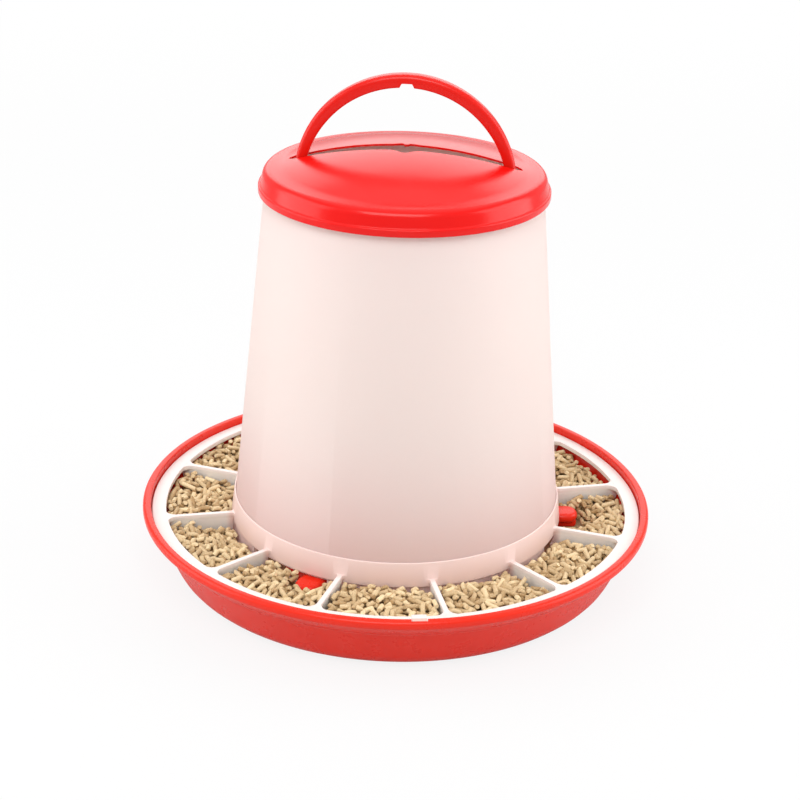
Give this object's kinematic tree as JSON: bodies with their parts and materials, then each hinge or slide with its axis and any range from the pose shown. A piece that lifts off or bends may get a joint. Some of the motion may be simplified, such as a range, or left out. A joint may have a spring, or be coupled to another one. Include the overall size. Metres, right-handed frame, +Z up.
{
  "type": "poultry hopper feeder",
  "caption": "Hopper feeder for poultry: a round red pan of feed under a white grid of vanes, with a tapered pale hopper, a domed lid and a hoop handle.",
  "frame": {"origin": "centre of the pan's base, on the ground", "axes": "+Z up along the hopper's axis, -Y to the front, +X to the right as seen from the front"},
  "size_m": [0.34, 0.34, 0.3344],
  "materials": {
    "red_plastic": "glossy moulded red polypropylene",
    "white_plastic": "satin white moulding",
    "hopper_plastic": "pale, slightly translucent satin moulding",
    "lid_plastic": "glossy moulded red polypropylene",
    "handle_plastic": "glossy moulded red polypropylene",
    "feed_pellets": null
  },
  "bodies": {
    "pan_body": {"pan": "red_plastic", "feed": "feed_pellets"},
    "grid_body": {"anti_waste_grid": "white_plastic"},
    "hopper_body": {"hopper": "hopper_plastic"},
    "lid_body": {"lid": "lid_plastic"},
    "handle_body": {"handle": "handle_plastic"}
  },
  "joints": [
    {"name": "grid_lift", "type": "slide", "parent": "pan_body", "child": "grid_body", "axis": [0, 0, 1], "range_m": [0, 0.3]},
    {"name": "hopper_turn", "type": "hinge", "parent": "pan_body", "child": "hopper_body", "pos_m": [0, 0, 0.022], "axis": [0, 0, 1], "range_deg": [0, 24]},
    {"name": "lid_lift", "type": "slide", "parent": "hopper_body", "child": "lid_body", "axis": [0, 0, 1], "range_m": [0, 0.1]},
    {"name": "handle_tilt", "type": "hinge", "parent": "hopper_body", "child": "handle_body", "pos_m": [0, 0, 0.2633], "axis": [0.9969, -0.0785, 0], "range_deg": [-1.5, 1.5]}
  ]
}
